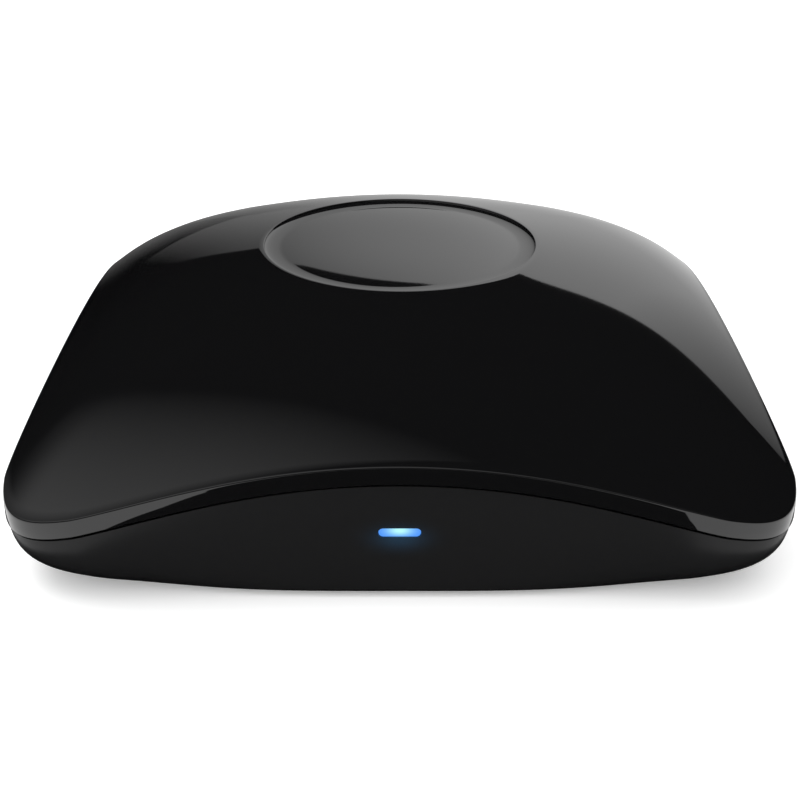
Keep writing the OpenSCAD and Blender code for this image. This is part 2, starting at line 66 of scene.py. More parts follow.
# Numbers of rings of the cover and the base, and where some of them lie
FIRST_SHARE = 0.06
EASE_SAMPLES = 21
FLAT_RINGS, EASED_RINGS, COVE_RINGS, LIP_RINGS = 20, 22, 14, 7
DOME_RINGS, EDGE_RINGS, UNDER_RINGS, CEILING_RINGS = 42, 6, 4, 15
INNER_RINGS, OUTER_RINGS = 16, 44
UNDERSIDE_SHARES = (0.9, 0.6, 0.3)

# Boxes of the frame's pieces
BASE_LOW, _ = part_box("base_shell")
BOARD_LOW, BOARD_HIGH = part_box("main_board")
PIPE_LOW, PIPE_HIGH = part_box("light_pipe")
INLET_LOW, INLET_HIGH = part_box("power_inlet_shell")
BUTTON_LOW, BUTTON_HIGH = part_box("reset_button")
FOOT_LOW, FOOT_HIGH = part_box("rubber_foot_4")
LIGHT_Z = (PIPE_LOW.z + PIPE_HIGH.z) / 2

# Fittings inside the shells, as in the part, and how far a cut goes past a face
OVER = 1 * MM
FIT_GAP = 0.3 * MM
FLOOR_THICK = 2 * MM
INNER_ROUND, UNDER_ROUND = 1.6 * MM, 0.15 * MM
BOSS_R, BOSS_HOLE_R = 2.8 * MM, 1.45 * MM
BOSS_LOW, BOSS_HOLE_TOP, BOSS_TOP = 14 * MM, 20.7 * MM, 27 * MM
POST_R = 3.8 * MM
STANDOFF_X, STANDOFF_Y = 44 * MM, 20 * MM
STANDOFF_R, STANDOFF_HOLE_R = 3 * MM, 1.05 * MM
STANDOFF_HOLE_LOW, STANDOFF_HOLE_TOP = 4.6 * MM, 10 * MM
SCREW_HEAD_R, SCREW_SHANK_R, SCREW_SEAT_Z = 2.8 * MM, 1.7 * MM, 3.7 * MM
RECESS_R, RECESS_Z = 5.6 * MM, 1.6 * MM
BORE_R, GUIDE_R = 2.4 * MM, 3.8 * MM
WINDOW_SIZE = (6.4 * MM, 1.6 * MM, 0.8 * MM - TINY)
POCKET_SIZE = (11.6 * MM, 7.4 * MM, 1.5 * MM)
TUNNEL_SIZE = (14 * MM, 9.8 * MM, 2.7 * MM)


class HubSizes(bpy.types.PropertyGroup):
    """Sizes of the cover and the base: the part's, but for the dish, the base's foot and small roundings."""

    outline_w: FloatProperty(
        name="Outline width", description="Square round the outline", default=121.2 * MM, unit="LENGTH"
    )
    outline_power: FloatProperty(name="Outline power", description="Tightness of the corners", default=9.5)
    waist: FloatProperty(
        name="Waist", description="How far a side's middle is drawn in", default=2.9 * MM, unit="LENGTH"
    )
    waist_span: FloatProperty(
        name="Waist span", description="Where the drawing-in has faded out", default=47 * MM, unit="LENGTH"
    )
    rim_z: FloatProperty(
        name="Dish edge height", description="Height of the dish's edge", default=36 * MM, unit="LENGTH"
    )
    edge_mid_z: FloatProperty(
        name="Rim height, side", description="Upper edge of the band", default=22.2 * MM, unit="LENGTH"
    )
    edge_corner_z: FloatProperty(
        name="Rim height, corner", description="Upper edge of the band", default=13.4 * MM, unit="LENGTH"
    )
    cover_wall: FloatProperty(
        name="Cover wall", description="Upright thickness", default=2.2 * MM, unit="LENGTH"
    )
    rim_band: FloatProperty(
        name="Band height", description="Upright band round the cover", default=2.8 * MM, unit="LENGTH"
    )
    rim_lip: FloatProperty(
        name="Lip thickness", description="Lip inside the band", default=1.8 * MM, unit="LENGTH"
    )
    edge_soft: FloatProperty(
        name="Edge softening", description="Rounding over the band", default=0.3 * MM, unit="LENGTH"
    )
    dish_r: FloatProperty(
        name="Dish radius", description="Edge of the dish", default=24 * MM, unit="LENGTH"
    )
    dish_cove: FloatProperty(
        name="Dish cove", description="Width of the dish's cove", default=3 * MM, unit="LENGTH"
    )
    dish_d: FloatProperty(
        name="Dish depth", description="Depth at the dish's edge", default=0.62 * MM, unit="LENGTH"
    )
    dish_crown: FloatProperty(
        name="Dish crown", description="Rise of its floor to the middle", default=0.61 * MM, unit="LENGTH"
    )
    dish_crown_power: FloatProperty(
        name="Crown power", description="Flatness of the crown's middle", default=3.4
    )
    dish_lip_r: FloatProperty(
        name="Dish lip", description="Rounding of the dish's edge", default=0.2 * MM, unit="LENGTH"
    )
    dish_ease: FloatProperty(
        name="Dish ease", description="Easing of the crown into the cove", default=0.4 * MM, unit="LENGTH"
    )
    base_w: FloatProperty(
        name="Base width", description="Base at its underside", default=114.5 * MM, unit="LENGTH"
    )
    base_power: FloatProperty(name="Base power", description="Tightness of the base's outline", default=3.6)
    base_round: FloatProperty(
        name="Base rounding", description="Rounding at the wall's foot", default=1.2 * MM, unit="LENGTH"
    )
    base_wall: FloatProperty(name="Base wall", description="Wall thickness", default=2 * MM, unit="LENGTH")
    base_inset: FloatProperty(
        name="Base inset", description="How far the base stands back", default=0.4 * MM, unit="LENGTH"
    )
    shadow_gap: FloatProperty(
        name="Shadow gap", description="Gap under the band", default=0.4 * MM, unit="LENGTH"
    )
    tongue_h: FloatProperty(
        name="Tongue height", description="Height of the locating tongue", default=1.4 * MM, unit="LENGTH"
    )
    tongue_t: FloatProperty(
        name="Tongue thickness", description="Its thickness", default=1.2 * MM, unit="LENGTH"
    )


class HubFinish(bpy.types.PropertyGroup):
    """Colours and strengths of the finishes and of the studio."""

    black: FloatVectorProperty(
        name="Gloss black", description="Colour under the gloss", subtype="COLOR",
        default=(0.0034, 0.0034, 0.0036),
    )
    base_black: FloatVectorProperty(
        name="Base black", description="Colour of the base", subtype="COLOR",
        default=(0.0088, 0.0088, 0.0091),
    )
    light_middle: FloatVectorProperty(
        name="Light, middle", description="Colour in the middle", subtype="COLOR",
        default=(0.5, 1.0, 1.0),
    )
    light_end: FloatVectorProperty(
        name="Light, ends", description="Colour at the ends", subtype="COLOR",
        default=(0.055, 0.26, 0.9),
    )
    gloss: FloatProperty(name="Gloss roughness", description="Roughness of the cover", default=0.035)
    ambient: FloatProperty(name="Ambient", description="Soft light from all round", default=1.3)
    floor_glow: FloatProperty(name="Floor whiteness", description="White added to the floor", default=0.24)


def sizes():
    """The sizes that the scene holds."""
    return bpy.context.scene.hub_sizes


def finish():
    """The colours and strengths that the scene holds."""
    return bpy.context.scene.hub_finish


def angles_round():
    """Even steps round the hub, shifted by a sine of four periods so that they crowd at the corners."""
    even = np.arange(AROUND) * 2 * np.pi / AROUND
    return even + CORNER_CROWDING * np.sin(4 * even) / 4


def squarish_r(half, power, th):
    """Half the width over the power-th root of |cos|^power + |sin|^power: a square with rounded corners."""
    return half / (np.abs(np.cos(th)) ** power + np.abs(np.sin(th)) ** power) ** (1 / power)


def outline_r(th):
    """The squarish outline, less a parabola that is widest at the middle of each side."""
    s = sizes()
    r = squarish_r(s.outline_w / 2, s.outline_power, th)
    along = np.minimum(np.abs(r * np.cos(th)), np.abs(r * np.sin(th)))
    t = np.minimum(1, along / s.waist_span)
    return r * (1 - s.waist / (s.outline_w / 2) * (1 - t * t))


def along_side(th):
    """The smaller of |x| and |y| on the outline, blended near the corner by a harmonic sum of powers."""
    r = outline_r(th)
    x = np.abs(r * np.cos(th)) + TINY
    y = np.abs(r * np.sin(th)) + TINY
    return (x ** -BLEND + y ** -BLEND) ** (-1 / BLEND)


def edge_z(th):
    """Upper edge of the band: a parabola in the distance from the side's middle, lowest at the corner."""
    s = sizes()
    share = along_side(th) / along_side(np.array([np.pi / 4]))
    return s.edge_mid_z - (s.edge_mid_z - s.edge_corner_z) * share ** 2


def cover_z(th, r):
    """Height of the cover outside the dish: half of its fall is straight, and half goes by a power."""
    s = sizes()
    share = np.clip((r - s.dish_r) / (outline_r(th) - s.dish_r), 0, 1)
    return s.rim_z - (s.rim_z - edge_z(th)) * (share + share ** DOME_POWER) / 2


def shade_smooth(mesh):
    """Shades a mesh smooth but for edges over the sharp angle."""
    mesh.shade_smooth()
    mesh.set_sharp_from_angle(angle=SHARP_ANGLE)


def mesh_object(name, points, faces, smooth=True):
    """A mesh object of these points and faces, shaded smooth or flat."""
    mesh = bpy.data.meshes.new(name)
    mesh.from_pydata(points, [], faces)
    mesh.validate()
    if smooth:
        shade_smooth(mesh)
    piece = bpy.data.objects.new(name, mesh)
    bpy.context.scene.collection.objects.link(piece)
    return piece


def swept_round(name, rows):
    """Joins rings, each a pair of arrays of radius and height over the angles, into one closed skin.

    Ring j and ring j + 1 are joined by quads, and the first and the last ring are closed by fans.
    """
    th = angles_round()
    radius = np.array([np.broadcast_to(r, th.shape) for r, _ in rows])
    height = np.array([np.broadcast_to(z, th.shape) for _, z in rows])
    rings = np.stack([radius * np.cos(th), radius * np.sin(th), height], axis=-1)
    hubs = np.array([[0, 0, height[0].mean()], [0, 0, height[-1].mean()]])
    points = np.concatenate([rings.reshape(-1, 3), hubs])
    i = np.arange(AROUND)
    k = (i + 1) % AROUND
    base = np.arange(len(rows) - 1)[:, None] * AROUND
    quads = np.stack([base + k, base + i, base + AROUND + i, base + AROUND + k], axis=-1).reshape(-1, 4)
    first = len(rows) * AROUND
    last = (len(rows) - 1) * AROUND
    start = np.stack([np.full(AROUND, first), i, k], axis=-1)
    end = np.stack([last + k, last + i, np.full(AROUND, first + 1)], axis=-1)
    return mesh_object(name, points.tolist(), quads.tolist() + start.tolist() + end.tolist())


def dish_z(r):
    """Height of the dish: a crown that meets a cove, which is a quarter ellipse.

    The crown's crease where they meet is eased by averaging its height over a short span of the radius.
    """
    s = sizes()
    floor_r = s.dish_r - s.dish_cove
    cove_r = s.dish_cove - s.dish_lip_r
    spread = np.abs(r[:, None] + s.dish_ease * np.linspace(-1, 1, EASE_SAMPLES))
    crown = s.dish_crown * (1 - np.clip(spread / floor_r, 0, 1) ** s.dish_crown_power).mean(axis=1)
    share = np.clip((r - floor_r) / cove_r, 0, 1)
    cove = (s.dish_d - s.dish_lip_r) * (1 - np.sqrt(1 - share ** 2))
    return s.rim_z - s.dish_d + crown + cove


def dish_radii():
    """Radii of the dish's rings: even steps on the crown, closer ones at its end, a sine in the cove."""
    s = sizes()
    floor_r = s.dish_r - s.dish_cove
    cove_r = s.dish_cove - s.dish_lip_r
    flat = np.linspace(FIRST_SHARE, 1, FLAT_RINGS) * (floor_r - s.dish_ease)
    eased = np.linspace(floor_r - s.dish_ease, floor_r + 2 * s.dish_ease, EASED_RINGS)[1:-1]
    start = np.arcsin(2 * s.dish_ease / cove_r)
    cove = floor_r + cove_r * np.sin(np.linspace(start, np.pi / 2, COVE_RINGS))[:-1]
    return np.concatenate([flat, eased, cove])


def cover_rows():
    """Rings of the cover from the dish over the dome and the band to the ceiling.

    The dish's lip and the edges over and under the band are arcs.
    """
    s = sizes()
    th = angles_round()
    rim_r = outline_r(th)
    edge = edge_z(th)
    dish = dish_radii()
    rows = list(zip(dish, dish_z(dish)))
    for a in np.linspace(0, np.pi / 2, LIP_RINGS):
        rows.append((s.dish_r - s.dish_lip_r * np.cos(a), s.rim_z - s.dish_lip_r * (1 - np.sin(a))))
    slope_r = rim_r - s.edge_soft
    for share in np.linspace(0, 1, DOME_RINGS)[1:]:
        r = s.dish_r + (slope_r - s.dish_r) * share
        rows.append((r, cover_z(th, r)))
    drop = cover_z(th, slope_r) - (edge - s.edge_soft)
    for a in np.linspace(0, np.pi / 2, EDGE_RINGS)[1:]:
        rows.append((slope_r + s.edge_soft * np.sin(a), edge - s.edge_soft + drop * np.cos(a)))
    under = edge - s.rim_band
    rows.append((rim_r, (edge + under) / 2))
    for a in np.linspace(0, np.pi / 2, UNDER_RINGS):
        rows.append((rim_r - UNDER_ROUND * (1 - np.cos(a)), under + UNDER_ROUND * (1 - np.sin(a))))
    lip_r = rim_r - s.rim_lip
    rows.append((lip_r, under))
    ceiling_top = s.rim_z - s.dish_d - s.cover_wall
    for share in np.linspace(1, 0, CEILING_RINGS)[:-1]:
        r = lip_r * share
        rows.append((r, np.minimum(cover_z(th, r) - s.cover_wall, ceiling_top)))
    return rows


def wall_rows(centre_r, top_z, wide, high, rounding, count):
    """Rings of a wall that is a quarter ellipse with a constant rounding added along its normal.

    The first half of the rings goes by even steps of the ellipse's own angle, up to the steep one,
    and the second by even steps of its normal from there down to the underside.
    """
    rows = []
    half = count // 2
    for t in np.linspace(0, STEEP, half + 1):
        reach = np.sqrt((high * np.cos(t)) ** 2 + (wide * np.sin(t)) ** 2)
        rows.append((centre_r + wide * np.cos(t) + rounding * high * np.cos(t) / reach,
                     top_z - high * np.sin(t) - rounding * wide * np.sin(t) / reach))
    start = np.arctan2(wide * np.sin(STEEP), high * np.cos(STEEP))
    for share in np.linspace(0, 1, count - half + 1)[1:]:
        a = start + (np.pi / 2 - start) * share
        reach = np.sqrt((wide * np.cos(a)) ** 2 + (high * np.sin(a)) ** 2)
        rows.append((centre_r + wide ** 2 * np.cos(a) / reach + rounding * np.cos(a),
                     top_z - high ** 2 * np.sin(a) / reach - rounding * np.sin(a)))
    return rows


def base_rows():
    """Rings of the base from the middle of its floor over the tongue to the middle of its underside."""
    s = sizes()
    th = angles_round()
    rim_r = outline_r(th)
    foot_z = BASE_LOW.z
    floor_z = foot_z + FLOOR_THICK
    top_z = edge_z(th) - s.rim_band - s.shadow_gap
    out_r = rim_r - s.base_inset
    foot_r = np.minimum(squarish_r(s.base_w / 2, s.base_power, th), out_r - TINY)
    tongue_out_r = rim_r - s.rim_lip - FIT_GAP
    in_r = tongue_out_r - s.tongue_t
    in_top_z = top_z + s.tongue_h
    in_foot_r = np.minimum(foot_r - s.base_wall, in_r - TINY)
    inner = wall_rows(
        in_foot_r - INNER_ROUND, in_top_z, in_r - in_foot_r, in_top_z - floor_z - INNER_ROUND,
        INNER_ROUND, INNER_RINGS,
    )
    outer = wall_rows(
        foot_r - s.base_round, top_z, out_r - foot_r, top_z - foot_z - s.base_round,
        s.base_round, OUTER_RINGS,
    )
    rows = [((in_foot_r - INNER_ROUND) / 2, floor_z + 0 * th)]
    rows += inner[::-1]
    rows += [(tongue_out_r, in_top_z), (tongue_out_r, top_z)]
    rows += outer
    rows += [((foot_r - s.base_round) * share, foot_z + 0 * th) for share in UNDERSIDE_SHARES]
    return rows


def prism(outline, low, high):
    """Points, side faces and end faces of an upright prism: the outline at a low and at a high height."""
    outline = np.asarray(outline)
    n = len(outline)
    points = np.concatenate([np.column_stack([outline, np.full(n, height)]) for height in (low, high)])
    i = np.arange(n)
    k = (i + 1) % n
    return points, np.column_stack([i, k, n + k, n + i]), np.stack([i[::-1], n + i])


def rounded_outline(w, d, r, steps=10):
    """Corners of a rounded rectangle, each a quarter circle of even steps."""
    a = np.arange(4)[:, None] * np.pi / 2 + np.linspace(0, np.pi / 2, steps + 1)
    side = np.array([[1, 1], [-1, 1], [-1, -1], [1, -1]])
    x = side[:, :1] * (w / 2 - r) + r * np.cos(a)
    y = side[:, 1:] * (d / 2 - r) + r * np.sin(a)
    return np.stack([x.ravel(), y.ravel()], axis=-1)


def round_profile(profile, place, steps=48):
    """Points, side faces and end faces of a solid turned round an upright axis.

    The profile is pairs of radius and height, and each pair makes a ring of even steps.
    """
    a = np.arange(steps) * 2 * np.pi / steps
    r, z = np.array(profile).T[:, :, None]
    rings = np.stack([place[0] + r * np.cos(a), place[1] + r * np.sin(a), z + 0 * a], axis=-1)
    i = np.arange(steps)
    k = (i + 1) % steps
    start = np.arange(len(profile) - 1)[:, None] * steps
    sides = np.stack([start + i, start + k, start + steps + k, start + steps + i], axis=-1)
    return rings.reshape(-1, 3), sides.reshape(-1, 4), np.stack([i[::-1], (len(profile) - 1) * steps + i])


def along_y(shape, x, z):
    """Turns an upright solid so that its height runs along +Y, at this place in X and Z."""
    points, sides, ends = shape
    turned = np.column_stack([x + points[:, 0], points[:, 2], z + points[:, 1]])
    return turned, sides[:, ::-1], ends[:, ::-1]


def joined(name, shapes):
    """One mesh object of several separate solids."""
    points, faces, start = [], [], 0
    for more_points, sides, ends in shapes:
        points.append(more_points)
        faces += (sides + start).tolist() + (ends + start).tolist()
        start += len(more_points)
    piece = mesh_object(name, np.concatenate(points).tolist(), faces, smooth=False)
    made = bmesh.new()
    made.from_mesh(piece.data)
    bmesh.ops.recalc_face_normals(made, faces=made.faces)
    made.to_mesh(piece.data)
    made.free()
    return piece


def combine(piece, tool, operation):
    """Applies an exact boolean of the tool to the piece and deletes the tool."""
    modifier = piece.modifiers.new(operation.lower(), "BOOLEAN")
    modifier.operation = operation
    modifier.solver = "EXACT"
    modifier.object = tool
    bpy.context.view_layer.update()
    result = bpy.data.meshes.new_from_object(piece.evaluated_get(bpy.context.evaluated_depsgraph_get()))
    piece.modifiers.clear()
    piece.data = result
    bpy.data.objects.remove(tool)
    if not result.polygons:
        raise RuntimeError(f"{piece.name}: the boolean left no faces")


def corner_places():
    """Places of the four feet, posts and case screws, from the foot's box."""
    at = (FOOT_LOW.x + FOOT_HIGH.x) / 2
    return four_places(at, at)


def four_places(x, y):
    """A place and its mirror images in both axes."""
    return [(sx * x, sy * y) for sx in (-1, 1) for sy in (-1, 1)]


def build_cover():
    """The smooth cover, with its four bosses let into its ceiling."""
    cover = swept_round("cover_skin", cover_rows())
    hole = [(BOSS_HOLE_R, BOSS_HOLE_TOP), (BOSS_HOLE_R, BOSS_LOW)]
    profile = hole + [(BOSS_R, BOSS_LOW), (BOSS_R, BOSS_TOP)]
    bosses = [round_profile(profile, place) for place in corner_places()]
    combine(cover, joined("bosses", bosses), "UNION")
    shade_smooth(cover.data)
    return cover


def build_base():
    """The smooth base with posts, plug tunnel and button guide, less its window, pocket and recesses."""
    s = sizes()
    base = swept_round("base_skin", base_rows())
    floor_mid = BASE_LOW.z + FLOOR_THICK / 2
    wall_in = s.outline_w / 2 - s.waist - s.rim_lip - FIT_GAP - s.tongue_t
    wall_out = s.outline_w / 2 - s.waist - s.base_inset
    wall_mid = (wall_in + wall_out) / 2
    inlet_z = (INLET_LOW.z + INLET_HIGH.z) / 2
    button_x = (BUTTON_LOW.x + BUTTON_HIGH.x) / 2
    button_z = (BUTTON_LOW.z + BUTTON_HIGH.z) / 2
    standoffs = four_places(STANDOFF_X, STANDOFF_Y)
    post = [(POST_R, floor_mid), (POST_R, BOSS_LOW)]
    standoff = [(STANDOFF_R, floor_mid), (STANDOFF_R, BOARD_LOW.z)]
    solids = [round_profile(post, place) for place in corner_places()]
    solids += [round_profile(standoff, place) for place in standoffs]
    tunnel = prism(rounded_outline(*TUNNEL_SIZE), BOARD_HIGH.y + FIT_GAP, wall_mid)
    guide = round_profile([(GUIDE_R, wall_in - OVER), (GUIDE_R, wall_mid)], (0, 0))
    solids += [along_y(tunnel, 0, inlet_z), along_y(guide, button_x, button_z)]
    combine(base, joined("posts", solids), "UNION")
    screw_way = [
        (RECESS_R, -OVER), (RECESS_R, RECESS_Z), (SCREW_HEAD_R, RECESS_Z), (SCREW_HEAD_R, SCREW_SEAT_Z),
        (SCREW_SHANK_R, SCREW_SEAT_Z), (SCREW_SHANK_R, BOSS_LOW + OVER),
    ]
    standoff_hole = [(STANDOFF_HOLE_R, STANDOFF_HOLE_LOW), (STANDOFF_HOLE_R, STANDOFF_HOLE_TOP)]
    cuts = [round_profile(screw_way, place) for place in corner_places()]
    cuts += [round_profile(standoff_hole, place) for place in standoffs]
    window = prism(rounded_outline(*WINDOW_SIZE), -wall_out - OVER, -wall_in + OVER)
    pocket = prism(rounded_outline(*POCKET_SIZE), BOARD_HIGH.y, wall_out + OVER)
    bore = round_profile([(BORE_R, BOARD_HIGH.y), (BORE_R, wall_out + 2 * OVER)], (0, 0))
    cuts += [along_y(window, 0, LIGHT_Z), along_y(pocket, 0, inlet_z), along_y(bore, button_x, button_z)]
    combine(base, joined("cuts", cuts), "DIFFERENCE")
    shade_smooth(base.data)
    return base


def set_input(tree, socket, value):
    """Links the socket or sets its value. A colour is given by its first three numbers."""
    if isinstance(value, bpy.types.NodeSocket):
        tree.links.new(value, socket)
    elif socket.type == "RGBA":
        socket.default_value = (*value[:3], 1)
    else:
        socket.default_value = value


def add_node(tree, kind, inputs=None, **settings):
    """Adds a node, sets its settings first, and then sets or links its inputs by their name or number."""
    node = tree.nodes.new(kind)
    for key, value in settings.items():
        setattr(node, key, value)
    for key, value in (inputs or {}).items():
        set_input(tree, node.inputs[key], value)
    return node


def calc(tree, operation, *values):
    """The result of a math node with these values."""
    return add_node(tree, "ShaderNodeMath", dict(enumerate(values)), operation=operation).outputs[0]


def vector_calc(tree, operation, a, b):
    """The vector math node of two vectors."""
    return add_node(tree, "ShaderNodeVectorMath", {0: a, 1: b}, operation=operation)


def scaled(tree, colour, share):
    """A colour times a value."""
    values = {0: colour, "Scale": share}
    return add_node(tree, "ShaderNodeVectorMath", values, operation="SCALE").outputs[0]


def mixed(tree, factor, a, b):
    """Two colours mixed by a factor."""
    return add_node(tree, "ShaderNodeMix", {0: factor, 6: a, 7: b}, data_type="RGBA").outputs[2]


# Kinds of sockets, and what every surface group gives
VECTOR, FLOAT, COLOUR = "NodeSocketVector", "NodeSocketFloat", "NodeSocketColor"
SURFACE = {"Colour": COLOUR, "Roughness": FLOAT, "Height": FLOAT}


def node_group(name, inputs, outputs, inside):
    """The node group of this name. It is made once, and the inside function gives its results."""
    if name in bpy.data.node_groups:
        return bpy.data.node_groups[name]
    group = bpy.data.node_groups.new(name, "ShaderNodeTree")
    for sockets, side in ((inputs, "INPUT"), (outputs, "OUTPUT")):
        for socket, kind in sockets.items():
            group.interface.new_socket(socket, in_out=side, socket_type=kind)
    results = inside(group, add_node(group, "NodeGroupInput").outputs)
    add_node(group, "NodeGroupOutput", results)
    return group


def moulded_inside(group, given):
    """A fine noise shades the colour and gives the height, and a coarse one spreads the roughness."""
    place = given["Place"]
    fine = add_node(group, "ShaderNodeTexNoise", {"Vector": place, "Scale": given["Scale"], "Detail": 3})
    cloud = add_node(group, "ShaderNodeTexNoise", {"Vector": place, "Scale": CLOUD_SCALE, "Detail": 2})
    shade = calc(group, "MULTIPLY_ADD", fine.outputs["Fac"], given["Mottle"], 1)
    return {
        "Colour": scaled(group, given["Colour"], shade),
        "Roughness": calc(group, "MULTIPLY_ADD", cloud.outputs["Fac"], given["Spread"], given["Roughness"]),
        "Height": fine.outputs["Fac"],
    }


def board_inside(group, given):
    """Solder mask over copper: paler traces along the edges of square cells, and tinned holes."""
    place = given["Place"]
    cells = add_node(
        group, "ShaderNodeTexVoronoi", {"Vector": place, "Scale": TRACE_SCALE},
        distance="CHEBYCHEV", feature="DISTANCE_TO_EDGE",
    )
    holes = add_node(group, "ShaderNodeTexVoronoi", {"Vector": place, "Scale": HOLE_SCALE})
    grain = add_node(group, "ShaderNodeTexNoise", {"Vector": place, "Scale": BOARD_GRAIN}).outputs["Fac"]
    line = calc(group, "LESS_THAN", cells.outputs["Distance"], TRACE_WIDE)
    hole = calc(group, "LESS_THAN", holes.outputs["Distance"], HOLE_WIDE)
    return {
        "Colour": mixed(group, hole, mixed(group, line, given["Colour"], given["Trace"]), HOLE_COLOUR),
        "Roughness": calc(group, "MULTIPLY_ADD", grain, BOARD_SPREAD, BOARD_ROUGHNESS),
        "Height": calc(group, "ADD", line, grain),
    }


def drawn_inside(group, given):
    """Plated metal: a noise stretched along Y shades the colour and the roughness."""
    stretched = add_node(group, "ShaderNodeMapping", {"Vector": given["Place"], "Scale": DRAWN_SCALE})
    values = {"Vector": stretched.outputs[0], "Scale": 1.0, "Detail": 4.0}
    grain = add_node(group, "ShaderNodeTexNoise", values).outputs["Fac"]
    tone = calc(group, "MULTIPLY", grain, DRAWN_TONE)
    least = calc(group, "SUBTRACT", given["Roughness"], DRAWN_GLOSS)
    return {
        "Colour": scaled(group, given["Colour"], calc(group, "ADD", tone, DRAWN_DARKEST)),
        "Roughness": calc(group, "ADD", tone, least),
        "Height": grain,
    }


def spot_inside(group, given):
    """A soft spot: the exponential of minus the squared offset from its middle, in its own half sizes."""
    offset = vector_calc(group, "SUBTRACT", given["Place"], given["Middle"]).outputs[0]
    share = vector_calc(group, "DIVIDE", offset, given["Half size"]).outputs[0]
    square = vector_calc(group, "DOT_PRODUCT", share, share).outputs["Value"]
    return {"Mask": calc(group, "EXPONENT", calc(group, "MULTIPLY", square, -1))}


# Texture scales per metre, widths in cells, and shares of the colour or the roughness
CLOUD_SCALE = 60
TRACE_SCALE, TRACE_WIDE = 240, 0.06
HOLE_SCALE, HOLE_WIDE, HOLE_COLOUR = 160, 0.09, (0.55, 0.42, 0.2)
BOARD_GRAIN, BOARD_ROUGHNESS, BOARD_SPREAD = 900, 0.3, 0.15
DRAWN_SCALE, DRAWN_TONE, DRAWN_DARKEST, DRAWN_GLOSS = (9000, 400, 9000), 0.2, 0.8, 0.08

# Shared node groups: their inputs, their outputs and the function that fills them
GROUPS = {
    "moulded_surface": (
        {
            "Place": VECTOR, "Scale": FLOAT, "Roughness": FLOAT, "Spread": FLOAT, "Colour": COLOUR,
            "Mottle": FLOAT,
        },
        SURFACE, moulded_inside,
    ),
    "board_surface": ({"Place": VECTOR, "Colour": COLOUR, "Trace": COLOUR}, SURFACE, board_inside),
    "drawn_surface": ({"Place": VECTOR, "Colour": COLOUR, "Roughness": FLOAT}, SURFACE, drawn_inside),
    "soft_spot": ({"Place": VECTOR, "Middle": VECTOR, "Half size": VECTOR}, {"Mask": FLOAT}, spot_inside),
}


class Finish:
    """A node material in the making: each call adds nodes to it and links them."""

    def __init__(self, name, **values):
        self.material = bpy.data.materials.new(name)
        self.material.use_nodes = True
        self.tree = self.material.node_tree
        self.shader = self.tree.nodes["Principled BSDF"]
        self.place = add_node(self.tree, "ShaderNodeTexCoord").outputs["Object"]
        self.set(**values)

    def set(self, **values):
        """Sets or links inputs of the shader, whose names are given with underscores for spaces."""
        for key, value in values.items():
            set_input(self.tree, self.shader.inputs[key.replace("_", " ")], value)

    def group(self, name, values):
        """The outputs of a shared node group at the piece's own coordinates."""
        values = {"Place": self.place, **values}
        tree = node_group(name, *GROUPS[name])
        return add_node(self.tree, "ShaderNodeGroup", values, node_tree=tree).outputs

    def surface(self, name, bump, **values):
        """Takes the colour, roughness and height from a shared surface group."""
        given = self.group(name, values)
        raised = {"Height": given["Height"], "Distance": bump * MM, "Strength": 1.0}
        normal = add_node(self.tree, "ShaderNodeBump", raised).outputs["Normal"]
        self.set(Base_Color=given["Colour"], Roughness=given["Roughness"], Normal=normal)


def moulded(name, colour, roughness, spread=0.05, mottle=0.2, scale=4000, bump=0.005, **extra):
    """A plain moulded or coated finish on the shared surface group, with further shader values."""
    made = Finish(name, **extra)
    made.surface(
        "moulded_surface", bump,
        Scale=scale, Roughness=roughness, Spread=spread, Colour=colour, Mottle=mottle,
    )
    return made


def black_gloss():
    """Piano black: a mirror gloss with a very faint mould flow in its colour and roughness."""
    flow = {"spread": 0.012, "mottle": 0.15, "scale": 900, "bump": 0.0}
    return moulded("cover_gloss_black", finish().black, finish().gloss, IOR=1.5, **flow)


# Gloss of the base
BASE_ROUGHNESS, BASE_SPECULAR = 0.3, 0.14

# Soft spots of the status light and of its glow painted on the base. A half size of 1 m along Y keeps them
# even there.
PAINTED_GLOW_AT = (0, 0, LIGHT_Z - 0.8 * MM)
PAINTED_GLOW_SIZE = (3.4 * MM, 1, 1.7 * MM)
PAINTED_GLOW_BLUE, PAINTED_GLOW_STRENGTH = (0.012, 0.05, 0.1), 0.5
LIGHT_AT = (0, 0, LIGHT_Z + 0.35 * MM)
LIGHT_FALL = 3.2 ** 0.5
LIGHT_SIZE = (((PIPE_HIGH.x - PIPE_LOW.x) / 2 - 1.4 * MM) / LIGHT_FALL, 1, 1.5 * MM / LIGHT_FALL)


def base_gloss():
    """The base's softer gloss, with a painted glow of the status light: a faint blue emission on the plastic
    below its window.
    """
    black = finish().base_black
    made = moulded("base_soft_black", black, BASE_ROUGHNESS, mottle=0.15, scale=900, bump=0.0)
    # Painted glow: a faint blue emission on the base round the status light's window, standing in for the
    # light that spills from it
    near = made.group("soft_spot", {"Middle": PAINTED_GLOW_AT, "Half size": PAINTED_GLOW_SIZE})["Mask"]
    parts = add_node(made.tree, "ShaderNodeSeparateXYZ", {0: made.place}).outputs
    painted_glow_mask = calc(made.tree, "MULTIPLY", near, calc(made.tree, "LESS_THAN", parts["Y"], 0))
    blue = scaled(made.tree, PAINTED_GLOW_BLUE, painted_glow_mask)
    made.set(Specular_IOR_Level=BASE_SPECULAR, Emission_Color=blue, Emission_Strength=PAINTED_GLOW_STRENGTH)
    return made


def lit_window():
    """The status light: cyan white in its upper middle, and blue towards its ends."""
    made = Finish("status_light", Base_Color=(0.02, 0.05, 0.1), Roughness=0.3, Emission_Strength=1.0)
    middle = made.group("soft_spot", {"Middle": LIGHT_AT, "Half size": LIGHT_SIZE})["Mask"]
    made.set(Emission_Color=mixed(made.tree, middle, finish().light_end, finish().light_middle))
    return made


def board_mask(name, colour, trace):
    """Solder mask in one colour, with its traces in another."""
    made = Finish(name)
    made.surface("board_surface", 0.02, Colour=colour, Trace=trace)
    return made


